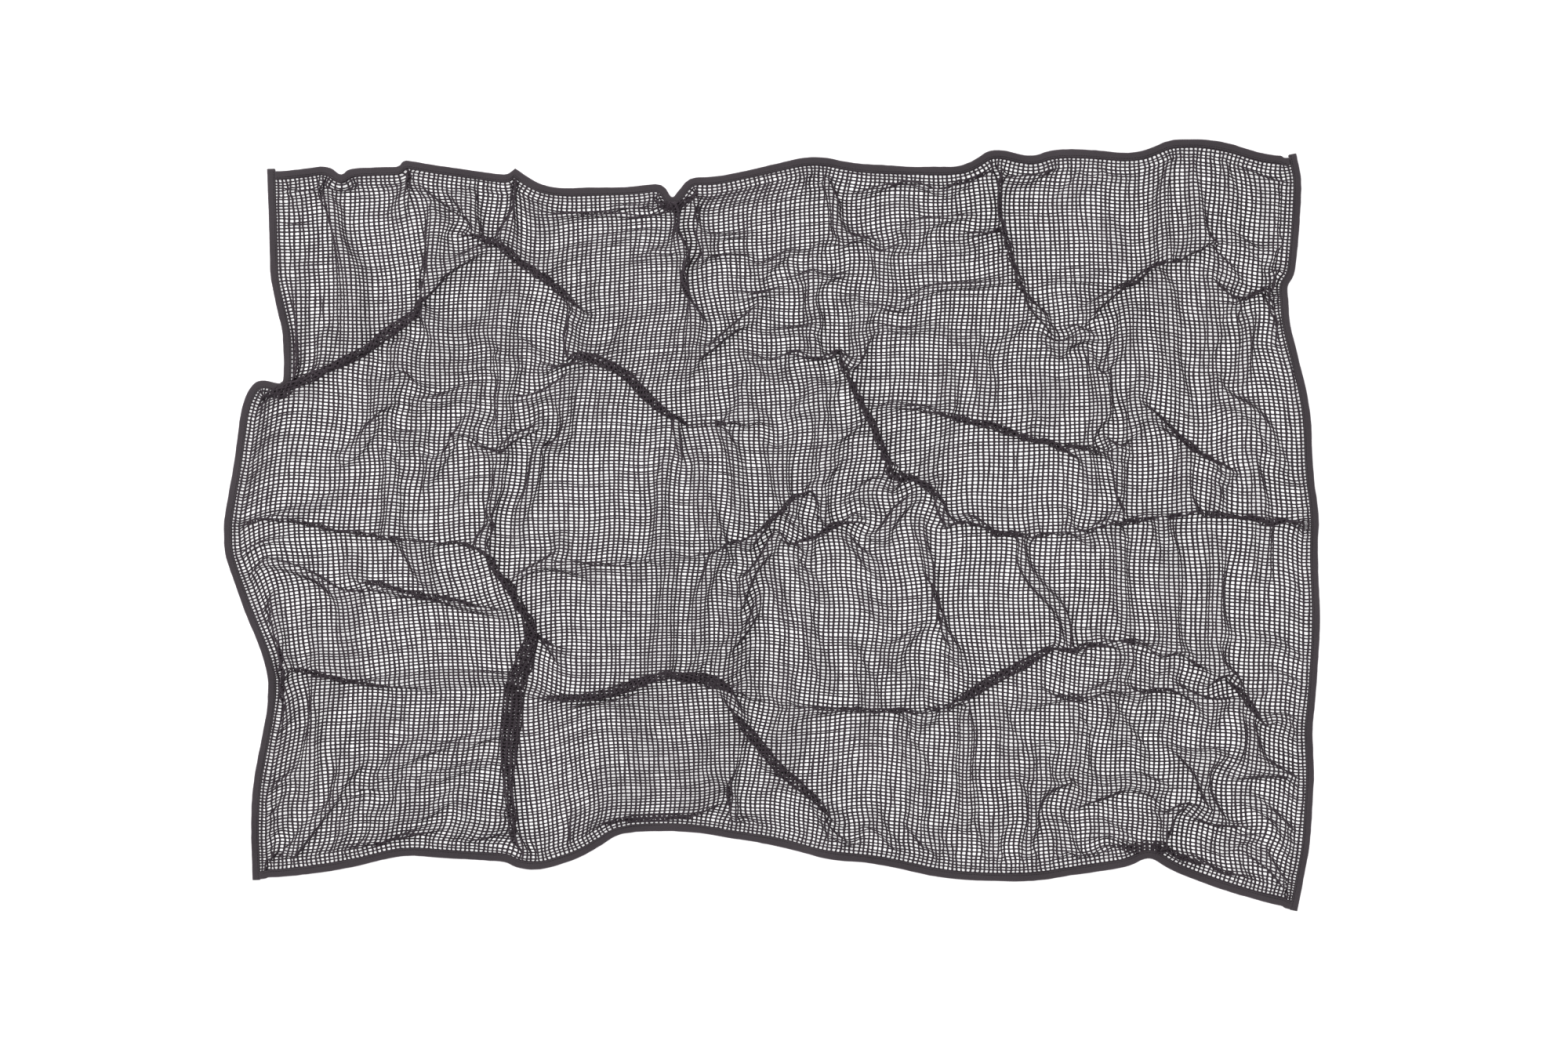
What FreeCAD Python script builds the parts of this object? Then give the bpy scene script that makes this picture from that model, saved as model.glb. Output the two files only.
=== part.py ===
import FreeCAD, Part
import os

# A fine-mesh net cloth with bound edges, thrown down flat and left crumpled.
# Millimetres.  X runs along the length, Y across the width, Z up.  The origin is on the floor
# under the middle of the cloth, and the cloth lies on the floor plane z = 0.

# ---- driving dimensions -----------------------------------------------------------------------
laid_length = 1397.0         # along X, as the cloth lies
laid_width = 981.0           # along Y, as the cloth lies
net_thickness = 2.4          # a warp yarn over a weft yarn

tape_width = 10.0            # a 20 mm binding tape, folded once over the cut edge of the net
tape_thickness = 0.8
tape_gap = 0.3               # between the net and the inside of the folded tape
butt_gap = 0.4               # between the end of a long tape and the short tape that it meets
tail_length = 3.0            # how far the short tapes run on past the top corners

seam_from_free_edge = 2.0    # seam centre line, from the free edge of the tape
thread_diameter = 0.5
thread_gap = 0.06            # between a thread and the groove that it presses into the tape

fold_width = 30.0            # footprint of an ordinary fold in the net
fold_height = 15.0           # how far an ordinary fold stands above the flat net
fold_end_share = 0.2         # what a fold keeps of its width and height where it dies out

# ---- where the edges run ----------------------------------------------------------------------
# The four sides in order, clockwise from above, so that the cloth is always on the right hand.
loop = ("top", "right", "bottom", "left")

# (share of the laid length from the left or of the laid width from the top, depth in from the
# outermost line in mm), in the same clockwise order.  The lines that these points make are
# carried on straight past their last points until they meet at the corners.
edge_waves = {
    "top": (
        (0.057, 40.5), (0.092, 35.0), (0.110, 40.5), (0.128, 34.0), (0.146, 36.5),
        (0.164, 26.5), (0.182, 29.5), (0.200, 34.0), (0.236, 41.5), (0.264, 43.0),
        (0.279, 44.0), (0.289, 59.0), (0.307, 63.0), (0.343, 62.0), (0.378, 60.5),
        (0.4015, 55.0), (0.4085, 78.0), (0.4160, 64.0), (0.4245, 48.0), (0.4420, 49.5),
        (0.469, 42.5), (0.504, 31.0), (0.540, 20.0), (0.576, 32.0), (0.612, 34.0),
        (0.668, 36.0), (0.684, 28.0), (0.701, 10.0), (0.737, 24.0), (0.755, 13.0),
        (0.790, 13.5), (0.826, 18.5), (0.844, 13.0), (0.862, 0.5), (0.880, 0.0),
        (0.892, 0.0), (0.916, 4.5), (0.948, 19.0), (0.966, 21.5),
    ),
    "right": (
        (0.037, 26.5), (0.053, 23.0), (0.104, 25.5), (0.155, 29.5), (0.1795, 33.0),
        (0.1900, 42.5), (0.206, 41.0), (0.231, 39.5), (0.257, 34.5), (0.308, 21.0),
        (0.359, 11.0), (0.435, 9.0), (0.486, 1.0), (0.537, 3.0), (0.600, 0.0),
        (0.628, 0.0), (0.664, 1.0), (0.741, 6.5), (0.767, 10.5), (0.817, 7.0),
        (0.868, 9.5), (0.919, 12.5), (0.960, 20.5),
    ),
    "bottom": (
        (0.962, 5.0), (0.940, 12.0), (0.916, 22.5), (0.880, 40.0), (0.862, 51.0), (0.8445, 68.0),
        (0.827, 54.5), (0.808, 50.0), (0.773, 43.0), (0.737, 34.5), (0.684, 35.5),
        (0.647, 41.5), (0.630, 47.5), (0.594, 58.0), (0.558, 62.0), (0.540, 66.5),
        (0.504, 81.5), (0.468, 88.5), (0.432, 98.0), (0.396, 100.0), (0.361, 96.5),
        (0.343, 80.0), (0.325, 65.5), (0.307, 57.0), (0.289, 49.0), (0.266, 52.0),
        (0.2575, 60.5), (0.236, 62.0), (0.200, 65.0), (0.164, 69.5), (0.128, 56.0),
        (0.092, 47.0), (0.057, 41.0), (0.041, 40.0),
    ),
    "left": (
        (0.938, 35.5), (0.894, 34.0), (0.843, 36.0), (0.792, 45.5), (0.741, 55.0),
        (0.705, 57.5), (0.690, 54.5), (0.664, 47.0), (0.614, 26.5), (0.563, 8.5),
        (0.537, 0.5), (0.512, 0.0), (0.495, 0.0), (0.435, 10.5), (0.385, 17.5),
        (0.355, 21.0), (0.329, 29.0), (0.310, 44.0), (0.3200, 75.5), (0.300, 76.0),
        (0.257, 76.0), (0.232, 70.5), (0.207, 64.5), (0.181, 59.0), (0.156, 58.5),
        (0.105, 57.0), (0.068, 56.0),
    ),
}

# ---- where the main folds run -----------------------------------------------------------------
# (height as a multiple of fold_height, points as shares of the laid length from the left and
# of the laid width from the top).
folds = (
    (0.90, ((0.072, 0.323), (0.125, 0.285), (0.180, 0.226))),
    (0.80, ((0.178, 0.072), (0.225, 0.114), (0.262, 0.160), (0.328, 0.228))),
    (1.00, ((0.290, 0.260), (0.350, 0.290), (0.395, 0.345), (0.430, 0.362), (0.490, 0.362))),
    (0.85, ((0.554, 0.258), (0.583, 0.350), (0.611, 0.442), (0.604, 0.480))),
    (1.10, ((0.590, 0.390), (0.518, 0.471), (0.440, 0.542), (0.354, 0.556), (0.254, 0.538))),
    (0.90, ((0.060, 0.562), (0.139, 0.594), (0.239, 0.620), (0.272, 0.642))),
    (0.70, ((0.070, 0.692), (0.110, 0.703), (0.175, 0.716))),
    (1.20, ((0.275, 0.640), (0.262, 0.716), (0.264, 0.768), (0.257, 0.838), (0.270, 0.905))),
    (1.10, ((0.290, 0.726), (0.361, 0.716), (0.390, 0.700), (0.461, 0.711))),
    (0.90, ((0.440, 0.716), (0.511, 0.818), (0.575, 0.880))),
    (0.90, ((0.611, 0.319), (0.697, 0.364), (0.797, 0.400), (0.855, 0.400))),
    (0.90, ((0.776, 0.256), (0.826, 0.186), (0.905, 0.135), (0.950, 0.125))),
    (0.75, ((0.712, 0.055), (0.705, 0.084), (0.726, 0.206), (0.747, 0.246))),
    (0.85, ((0.619, 0.472), (0.740, 0.522), (0.840, 0.492), (0.965, 0.497))),
    (0.85, ((0.647, 0.741), (0.755, 0.665), (0.869, 0.665), (0.920, 0.695))),
)

# ---- levels and insets worked out from the sizes ----------------------------------------------
slot_floor = tape_thickness
slot_ceiling = slot_floor + net_thickness + 2.0 * tape_gap
tape_height = slot_ceiling + tape_thickness
net_underside = slot_floor + tape_gap
net_top = net_underside + net_thickness
net_middle = (net_underside + net_top) / 2.0
seam_inset = tape_width - seam_from_free_edge
groove_depth = thread_diameter + thread_gap
groove_reach = thread_diameter / 2.0 + thread_gap

# Where each tape ends: its insets from the side before it and from the side after it.  The long
# tapes stop at the short ones.  The short tapes run over the long ones, and at the top a little
# past them.
butt = tape_width + butt_gap
tape_ends = {
    "top": (butt, butt),
    "right": (-tail_length, 0.0),
    "bottom": (butt, butt),
    "left": (0.0, -tail_length),
}


def floor_point(share_x, share_y, level=0.0):
    """A point at a level, from its shares of the laid length and the laid width."""
    return FreeCAD.Vector((share_x - 0.5) * laid_length, (0.5 - share_y) * laid_width, level)


def wave_point(side, share, depth):
    """A point on a side, from its share along the side and its depth in."""
    if side == "top":
        return floor_point(share, 0.0) - FreeCAD.Vector(0.0, depth, 0.0)
    if side == "bottom":
        return floor_point(share, 1.0) + FreeCAD.Vector(0.0, depth, 0.0)
    if side == "left":
        return floor_point(0.0, share) + FreeCAD.Vector(depth, 0.0, 0.0)
    return floor_point(1.0, share) - FreeCAD.Vector(depth, 0.0, 0.0)


def inset_line(side, inset):
    """The points that run beside the outer line of a side, a set distance into the cloth."""
    line = [wave_point(side, share, depth) for share, depth in edge_waves[side]]
    normals = []
    for here, following in zip(line, line[1:]):
        step = following - here
        normals.append(FreeCAD.Vector(step.y, -step.x, 0.0).normalize())
    moved = []
    for index, point in enumerate(line):
        before = normals[max(index - 1, 0)]
        after = normals[min(index, len(normals) - 1)]
        moved.append(point + (before + after) * (inset / (1.0 + before.dot(after))))
    return moved


def crossing(here, along, there, across):
    """Where a straight line through one point meets one through another, in the floor plan."""
    apart = there - here
    reach = (apart.x * across.y - apart.y * across.x) / (along.x * across.y - along.y * across.x)
    return here + along * reach


def trimmed_line(side, inset, ends, level):
    """An inset line, carried on at both ends to the neighbouring sides' own inset lines."""
    line = inset_line(side, inset)
    place = loop.index(side)
    before = inset_line(loop[place - 1], ends[0])
    after = inset_line(loop[(place + 1) % len(loop)], ends[1])
    start = crossing(line[0], line[0] - line[1], before[-1], before[-1] - before[-2])
    end = crossing(line[-1], line[-1] - line[-2], after[0], after[0] - after[1])
    lift = FreeCAD.Vector(0.0, 0.0, level)
    return [point + lift for point in [start] + line + [end]]


def smooth_edge(line):
    """One smooth edge that leans on the points of a line, and starts and ends on them."""
    curve = Part.BSplineCurve()
    curve.buildFromPoles(line, False, 2)
    return curve.toShape()


def follow_side(side, section, ends):
    """The solid that a section sweeps out along a side.

    The section is a closed outline of (inset, level) corners.
    """
    rails = []
    for inset, level in section:
        rails.append(smooth_edge(trimmed_line(side, inset, ends, level)))
    faces = []
    for index, rail in enumerate(rails):
        faces.append(Part.makeRuledSurface(rails[index - 1], rail))
    for parameter in ("FirstParameter", "LastParameter"):
        ring = [rail.valueAt(getattr(rail, parameter)) for rail in rails]
        faces.append(Part.Face(Part.makePolygon(ring + ring[:1])))
    shell = Part.makeShell(faces)
    shell.sewShape()
    solid = Part.makeSolid(shell)
    if solid.Volume < 0.0:
        solid.reverse()
    return solid


def tape_section():
    """The folded tape: two legs, the fold that joins them and a groove for each thread."""
    groove_out = seam_inset - groove_reach
    groove_in = seam_inset + groove_reach
    groove_roof = groove_depth
    groove_floor = tape_height - groove_depth
    return [
        (0.0, 0.0),
        (groove_out, 0.0), (groove_out, groove_roof), (groove_in, groove_roof), (groove_in, 0.0),
        (tape_width, 0.0), (tape_width, slot_floor),
        (tape_thickness, slot_floor), (tape_thickness, slot_ceiling),
        (tape_width, slot_ceiling), (tape_width, tape_height),
        (groove_in, tape_height), (groove_in, groove_floor),
        (groove_out, groove_floor), (groove_out, tape_height),
        (0.0, tape_height),
    ]


def thread_section(underside):
    """A thread of the seam, pressed flat by the foot of the machine."""
    outer = seam_inset - thread_diameter / 2.0
    inner = seam_inset + thread_diameter / 2.0
    top = underside + thread_diameter
    return [(outer, underside), (inner, underside), (inner, top), (outer, top)]


def slab(inset, bottom, top):
    """A slab of the cloth's own outline, drawn in by an inset."""
    edges = [smooth_edge(trimmed_line(side, inset, (inset, inset), bottom)) for side in loop]
    return Part.Face(Part.Wire(edges)).extrude(FreeCAD.Vector(0.0, 0.0, top - bottom))


def fold_section(centre, across, width, height):
    """The arch of a fold where it is cut across."""
    left = centre - across * (width / 2.0)
    right = centre + across * (width / 2.0)
    crown = centre + FreeCAD.Vector(0.0, 0.0, height)
    arch = Part.Arc(left, crown, right).toShape()
    return Part.Wire([arch, Part.LineSegment(right, left).toShape()])


def make_fold(size, route):
    """A fold in the net, rooted in its middle plane, which dies out at both ends."""
    centres = [floor_point(share_x, share_y, net_middle) for share_x, share_y in route]
    height = fold_height * size + net_top - net_middle
    last = len(centres) - 1
    sections = []
    for index, centre in enumerate(centres):
        along = (centres[min(index + 1, last)] - centres[max(index - 1, 0)]).normalize()
        across = FreeCAD.Vector(-along.y, along.x, 0.0)
        share = fold_end_share if index in (0, last) else 1.0
        sections.append(fold_section(centre, across, fold_width * share, height * share))
    return Part.makeLoft(sections, True, True)


def make_net():
    """The net: its edge fills the tapes' slots, and inside them it lies on the floor."""
    edge = slab(tape_thickness + tape_gap, net_underside, net_top)
    inside = slab(tape_width + tape_gap, 0.0, net_middle)
    return edge.fuse([inside] + [make_fold(size, route) for size, route in folds])


def write_piece(name, shape):
    """Write one piece to its own file, after a look at what it is."""
    if len(shape.Solids) != 1 or not shape.isValid():
        raise RuntimeError(name + " is not one good solid")
    piece = shape.Solids[0]
    piece.exportStep("parts/" + name + ".step")
    box = piece.BoundBox
    print("%-21s %9.0f mm3   x %7.1f to %7.1f   y %7.1f to %7.1f   z %5.2f to %5.2f" % (
        name, piece.Volume, box.XMin, box.XMax, box.YMin, box.YMax, box.ZMin, box.ZMax))


def main():
    """Make every piece and write it."""
    os.makedirs("parts", exist_ok=True)
    write_piece("net_panel", make_net())
    for side in loop:
        ends = tape_ends[side]
        needle_level = tape_height - thread_diameter
        write_piece("binding_" + side, follow_side(side, tape_section(), ends))
        write_piece("needle_thread_" + side, follow_side(side, thread_section(needle_level), ends))
        write_piece("bobbin_thread_" + side, follow_side(side, thread_section(0.0), ends))


main()
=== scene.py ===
"""A soft net cloth with a folded tape round its edge, laid crumpled on a pale floor."""

import math

import bpy
import numpy as np
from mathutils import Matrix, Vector


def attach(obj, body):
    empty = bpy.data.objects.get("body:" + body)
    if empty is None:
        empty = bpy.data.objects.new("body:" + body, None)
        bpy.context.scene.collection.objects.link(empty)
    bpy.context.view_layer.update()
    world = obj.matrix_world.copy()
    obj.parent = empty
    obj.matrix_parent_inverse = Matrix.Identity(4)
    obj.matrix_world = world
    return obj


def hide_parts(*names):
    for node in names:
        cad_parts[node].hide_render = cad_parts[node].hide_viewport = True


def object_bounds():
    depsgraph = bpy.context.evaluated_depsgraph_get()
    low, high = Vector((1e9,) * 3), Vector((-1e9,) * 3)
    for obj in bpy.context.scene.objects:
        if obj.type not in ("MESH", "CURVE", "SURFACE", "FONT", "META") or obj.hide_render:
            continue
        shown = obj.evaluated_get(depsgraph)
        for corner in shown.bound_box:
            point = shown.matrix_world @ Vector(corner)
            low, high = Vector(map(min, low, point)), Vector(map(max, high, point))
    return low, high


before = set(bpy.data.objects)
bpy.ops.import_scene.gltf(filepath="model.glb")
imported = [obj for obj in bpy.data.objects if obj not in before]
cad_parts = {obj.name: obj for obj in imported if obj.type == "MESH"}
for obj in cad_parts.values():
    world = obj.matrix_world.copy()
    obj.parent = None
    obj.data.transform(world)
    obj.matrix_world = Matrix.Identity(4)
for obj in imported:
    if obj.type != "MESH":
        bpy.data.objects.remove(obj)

bl_info = {
    "name": "Net cloth",
    "version": (1, 0, 0),
    "blender": (4, 5, 0),
    "location": "3D View > Sidebar > Net cloth",
    "description": "Makes a crumpled open-mesh cloth with a sewn edge tape and its floor",
    "category": "Mesh",
}

CAD_BOX = [list(corner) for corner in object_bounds()]
BOX_LOW, BOX_HIGH = (np.array(corner) for corner in CAD_BOX)
MM = 0.001
NET_HALF = 1.2              # half the height of a warp yarn over a weft yarn, in millimetres
EDGE_ROOM = 0.9             # between the net's cut edge and the inside of the tape's fold
SEAM_FROM_EDGE = 2.0        # from the tape's free edge to the seam
THREAD_SIZE = 0.5           # across a stitch
PLIES = 2                   # plies twisted together in a yarn
FLAT_CELL = (6.6, 4.9)      # a cell of the net where it lies flat
VIEW_SHARE = 1.43164        # how many times the cloth's length the view shows
FLOOR_CLEARANCE = 0.00002   # metres between the lowest yarns and the floor
MOST_SLACK = 1.13           # how much longer than its laid length a yarn may be
SMALL_LAP = 2.4             # laps under this are creases, which only draw in the cloth close by
LAYER_GAP = 2.4             # between the middles of two layers that lie on one another
LAYER_BINS = (13.0, 6.6)    # squares in which layers are looked for, first on half the crossings
CREASES = 330               # how many small creases there are
HIGHEST = 24.0              # how far the top of a fold may stand above the floor
HEM_ZONE = 26.0             # how far in from its edge the cloth follows the hem
SEAT_DEPTH = 16.0           # how far in the cloth is that the crossings at the hem line up with
TAPE_TOP = 12.0             # how far in from its edge the cloth is held low by the tape

# ---- where the hem runs -----------------------------------------------------------------------
# Each side of the cloth as (share along the box's side, depth in from it in millimetres), taken
# clockwise from the back left corner.
LOOP = ("top", "right", "bottom", "left")
HEM = {
    "top": (
        (0.057, 40.5), (0.082, 36.5), (0.089, 34.5), (0.0995, 37.5), (0.1055, 46.0),
        (0.109, 45.0), (0.114, 37.5), (0.137, 36.0), (0.1535, 35.5), (0.1600, 35.0),
        (0.1625, 27.0), (0.168, 27.0), (0.175, 29.0), (0.196, 34.0), (0.225, 39.5),
        (0.250, 44.5), (0.2600, 45.5), (0.2650, 34.5), (0.2700, 42.0), (0.279, 50.0),
        (0.289, 58.0), (0.307, 63.0), (0.343, 62.0), (0.378, 60.5),
        (0.4015, 55.0), (0.4085, 78.0), (0.4160, 64.0), (0.4245, 48.0), (0.4420, 49.5),
        (0.469, 42.5), (0.504, 31.0), (0.540, 20.0), (0.576, 32.0), (0.612, 34.0),
        (0.668, 36.0), (0.684, 28.0), (0.701, 10.0), (0.737, 24.0), (0.755, 13.0),
        (0.790, 13.5), (0.826, 18.5), (0.844, 13.0), (0.862, 0.5), (0.880, 0.0),
        (0.892, 0.0), (0.916, 4.5), (0.948, 19.0), (0.966, 21.5),
    ),
    "right": (
        (0.037, 26.5), (0.053, 23.0), (0.104, 25.5), (0.155, 29.5), (0.1795, 33.0),
        (0.1900, 42.5), (0.206, 41.0), (0.231, 39.5), (0.257, 34.5), (0.308, 21.0),
        (0.359, 11.0), (0.435, 9.0), (0.486, 1.0), (0.537, 3.0), (0.600, 0.0),
        (0.628, 0.0), (0.664, 1.0), (0.741, 6.5), (0.767, 10.5), (0.817, 7.0),
        (0.868, 9.5), (0.919, 12.5), (0.960, 20.5),
    ),
    "bottom": (
        (0.962, 5.0), (0.940, 12.0), (0.916, 22.5), (0.880, 40.0), (0.862, 51.0),
        (0.8445, 68.0), (0.827, 54.5), (0.808, 50.0), (0.773, 43.0), (0.737, 34.5),
        (0.684, 35.5), (0.647, 41.5), (0.630, 47.5), (0.594, 58.0), (0.558, 62.0),
        (0.540, 66.5), (0.504, 81.5), (0.468, 88.5), (0.432, 98.0), (0.396, 100.0),
        (0.361, 96.5), (0.343, 80.0), (0.325, 65.5), (0.307, 57.0), (0.289, 49.0),
        (0.266, 52.0), (0.2575, 60.5), (0.236, 62.0), (0.200, 65.0), (0.164, 69.5),
        (0.128, 56.0), (0.092, 47.0), (0.057, 41.0), (0.041, 40.0),
    ),
    "left": (
        (0.938, 35.5), (0.894, 34.0), (0.843, 36.0), (0.792, 45.5), (0.741, 55.0),
        (0.705, 57.5), (0.690, 54.5), (0.664, 47.0), (0.614, 26.5), (0.563, 8.5),
        (0.537, 0.5), (0.512, 0.0), (0.495, 0.0), (0.435, 10.5), (0.385, 17.5),
        (0.355, 21.0), (0.329, 29.0), (0.310, 44.0), (0.3200, 75.5), (0.300, 76.0),
        (0.257, 76.0), (0.232, 70.5), (0.207, 64.5), (0.181, 59.0), (0.156, 58.5),
        (0.105, 57.0), (0.068, 56.0),
    ),
}

# ---- where the cloth folds --------------------------------------------------------------------
# Each fold: how far it laps over itself in millimetres (the sign says to which side), how strong
# it is at its two ends, and its route in shares of the box from the left and from the back.
FOLDS = (
    (6.5, 1, 0.4, ((0.042, 0.331), (0.082, 0.308), (0.125, 0.282), (0.153, 0.252), (0.177, 0.224))),
    (6.5, 0.4, 0.2, ((0.177, 0.224), (0.196, 0.198), (0.225, 0.170))),
    (6.5, 0.2, 0.6, ((0.177, 0.109), (0.180, 0.155), (0.178, 0.226))),
    (6.5, 0.8, 0.2, ((0.162, 0.045), (0.175, 0.068), (0.223, 0.106), (0.264, 0.145), (0.296, 0.186))),
    (6.5, 0.2, 0.2, ((0.195, 0.115), (0.223, 0.123), (0.258, 0.147), (0.289, 0.177), (0.329, 0.226))),
    (5.5, 1, 0.2, ((0.264, 0.045), (0.261, 0.084), (0.260, 0.129))),
    (5.5, 1, 0.2, ((0.084, 0.045), (0.090, 0.084), (0.103, 0.124), (0.119, 0.175))),
    (4.5, 0.8, 0.2, ((0.105, 0.045), (0.114, 0.094), (0.135, 0.155))),
    (4.5, 0.8, 0.2, ((0.164, 0.048), (0.153, 0.084), (0.158, 0.135))),
    (7, 1, 0.3, ((0.409, 0.082), (0.411, 0.124), (0.415, 0.175), (0.427, 0.231))),
    (5.5, 0.8, 0.2, ((0.428, 0.068), (0.429, 0.124), (0.440, 0.175))),
    (4.5, 0.2, 0.2, ((0.346, 0.073), (0.361, 0.109), (0.368, 0.160))),
    (8.5, 0.1, 0.2, ((0.289, 0.257), (0.321, 0.275), (0.350, 0.287), (0.379, 0.328), (0.404, 0.356),
        (0.440, 0.367), (0.490, 0.364))),
    (5.5, 0.2, 0.2, ((0.289, 0.298), (0.325, 0.282), (0.361, 0.298))),
    (4.5, 0.2, 0.2, ((0.375, 0.349), (0.425, 0.369), (0.482, 0.381))),
    (2.5, 0.2, 0.2, ((0.178, 0.226), (0.153, 0.308), (0.132, 0.389), (0.121, 0.451))),
    (4.5, 0.2, 0.2, ((0.306, 0.099), (0.339, 0.096), (0.364, 0.102))),
    (4.5, 0.2, 0.2, ((0.511, 0.155), (0.482, 0.221), (0.443, 0.267), (0.404, 0.323))),
    (4.5, 0.8, 0.2, ((0.547, 0.043), (0.554, 0.084), (0.563, 0.160))),
    (4.5, 0.2, 0.2, ((0.534, 0.175), (0.527, 0.247), (0.554, 0.308))),
    (4.5, 0.2, 0.2, ((0.579, 0.218), (0.618, 0.236), (0.634, 0.272))),
    (6.5, 0.2, 0.2, ((0.554, 0.257), (0.568, 0.308), (0.583, 0.349), (0.601, 0.400), (0.611, 0.442),
        (0.604, 0.486))),
    (5.5, 0.2, 0.2, ((0.610, 0.442), (0.640, 0.434), (0.658, 0.473))),
    (6.5, 0.3, 0.3, ((0.588, 0.391), (0.554, 0.435), (0.518, 0.471), (0.479, 0.510), (0.440, 0.538),
        (0.404, 0.550), (0.354, 0.555), (0.296, 0.547), (0.253, 0.537))),
    (5.5, 0.2, 0.2, ((0.611, 0.471), (0.554, 0.504), (0.511, 0.532), (0.461, 0.568), (0.404, 0.595))),
    (4.5, 0.2, 0.2, ((0.515, 0.374), (0.517, 0.430), (0.513, 0.479))),
    (5.5, 0.8, 0.2, ((0.014, 0.486), (0.067, 0.495), (0.117, 0.512), (0.182, 0.522), (0.225, 0.524),
        (0.261, 0.544))),
    (7, 0.9, 0.3, ((0.031, 0.555), (0.082, 0.575), (0.139, 0.593), (0.196, 0.610), (0.239, 0.620),
        (0.271, 0.640))),
    (5.5, 0.3, 0.2, ((0.096, 0.568), (0.153, 0.585), (0.218, 0.601), (0.261, 0.626))),
    (6.5, 1, 0.2, ((0.041, 0.688), (0.067, 0.687), (0.110, 0.703), (0.175, 0.716))),
    (26, 0.2, 0.3, ((0.279, 0.624), (0.268, 0.675), (0.261, 0.721), (0.264, 0.761), (0.261, 0.807))),
    (9, 0.5, 0.8, ((0.262, 0.767), (0.259, 0.823), (0.261, 0.879), (0.271, 0.932))),
    (6.5, 0.2, 0.2, ((0.253, 0.568), (0.269, 0.598), (0.282, 0.634), (0.296, 0.670), (0.312, 0.700))),
    (5.5, 0.2, 0.2, ((0.239, 0.544), (0.261, 0.573), (0.273, 0.624))),
    (17, 0.4, 0.5, ((0.289, 0.726), (0.325, 0.724), (0.361, 0.716), (0.389, 0.697), (0.418, 0.701),
        (0.461, 0.714))),
    (6.5, 0.2, 0.4, ((0.296, 0.741), (0.346, 0.731), (0.389, 0.716))),
    (5.5, 0.5, 0.2, ((0.411, 0.697), (0.447, 0.675), (0.475, 0.639), (0.511, 0.614))),
    (6.5, 0.6, 0.2, ((0.457, 0.714), (0.490, 0.729), (0.533, 0.739), (0.597, 0.742), (0.654, 0.741))),
    (9.5, 0.2, 0.2, ((0.651, 0.741), (0.697, 0.703), (0.754, 0.667), (0.812, 0.652), (0.869, 0.663),
        (0.919, 0.695))),
    (7.5, 0.2, 0.2, ((0.654, 0.767), (0.740, 0.734), (0.833, 0.718), (0.898, 0.716), (0.941, 0.738))),
    (7, 0.6, 0.2, ((0.436, 0.714), (0.475, 0.765), (0.511, 0.815), (0.547, 0.860), (0.586, 0.901))),
    (5.5, 0.2, 0.2, ((0.461, 0.761), (0.500, 0.823), (0.547, 0.884), (0.568, 0.907))),
    (6.5, 0.2, 0.2, ((0.597, 0.328), (0.640, 0.349), (0.697, 0.374), (0.747, 0.394), (0.797, 0.405),
        (0.855, 0.406))),
    (5.5, 0.2, 0.2, ((0.855, 0.374), (0.898, 0.415), (0.933, 0.430))),
    (4.5, 0.2, 0.2, ((0.869, 0.349), (0.912, 0.339), (0.943, 0.351), (0.949, 0.394))),
    (6.5, 0.2, 0.2, ((0.777, 0.257), (0.797, 0.221), (0.826, 0.186), (0.869, 0.155), (0.905, 0.137),
        (0.958, 0.124))),
    (4.5, 0.2, 0.6, ((0.890, 0.175), (0.933, 0.150), (0.973, 0.129))),
    (4.5, 0.2, 0.6, ((0.812, 0.124), (0.869, 0.096), (0.912, 0.075), (0.969, 0.058))),
    (5.5, 0.2, 1, ((0.912, 0.221), (0.941, 0.198), (0.971, 0.188))),
    (5.5, 0.2, 0.8, ((0.953, 0.201), (0.956, 0.236), (0.963, 0.267))),
    (6.5, 1, 0.2, ((0.709, 0.031), (0.703, 0.084), (0.717, 0.155), (0.729, 0.211), (0.749, 0.252))),
    (4.5, 0.8, 0.2, ((0.747, 0.028), (0.740, 0.063), (0.752, 0.124), (0.747, 0.191))),
    (4.5, 0.8, 0.2, ((0.855, 0.028), (0.862, 0.073), (0.882, 0.124))),
    (4.5, 0.2, 0.2, ((0.787, 0.267), (0.787, 0.308), (0.799, 0.351))),
    (6.5, 0.2, 0.8, ((0.618, 0.471), (0.661, 0.493), (0.740, 0.522), (0.790, 0.506), (0.840, 0.491),
        (0.912, 0.489), (0.987, 0.496))),
    (4.5, 0.2, 0.2, ((0.726, 0.563), (0.754, 0.603), (0.783, 0.624), (0.797, 0.634))),
    (4.5, 0.2, 0.2, ((0.640, 0.573), (0.661, 0.634), (0.654, 0.685))),
    (7, 0.2, 0.2, ((0.912, 0.685), (0.937, 0.726), (0.939, 0.797), (0.926, 0.848))),
    (4.5, 0.2, 0.2, ((0.869, 0.797), (0.883, 0.838), (0.901, 0.874))),
    (4.5, 0.6, 0.2, ((0.849, 0.935), (0.869, 0.889), (0.876, 0.838))),
    (5.5, 0.2, 0.8, ((0.461, 0.823), (0.465, 0.869), (0.465, 0.904))),
    (4.5, 0.2, 0.2, ((0.103, 0.741), (0.153, 0.761), (0.203, 0.741), (0.253, 0.736))),
    (4.5, 0.2, 0.2, ((0.110, 0.848), (0.153, 0.840), (0.196, 0.853))),
    (4.5, 0.2, 0.6, ((0.218, 0.767), (0.214, 0.838), (0.225, 0.925))),
    (4.5, 0.2, 0.2, ((0.082, 0.705), (0.085, 0.767), (0.078, 0.828))),
    (4.5, 0.2, 0.2, ((0.296, 0.797), (0.339, 0.838), (0.382, 0.848))),
    (4.5, 0.2, 0.6, ((0.418, 0.787), (0.425, 0.838), (0.418, 0.889))),
)


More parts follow.
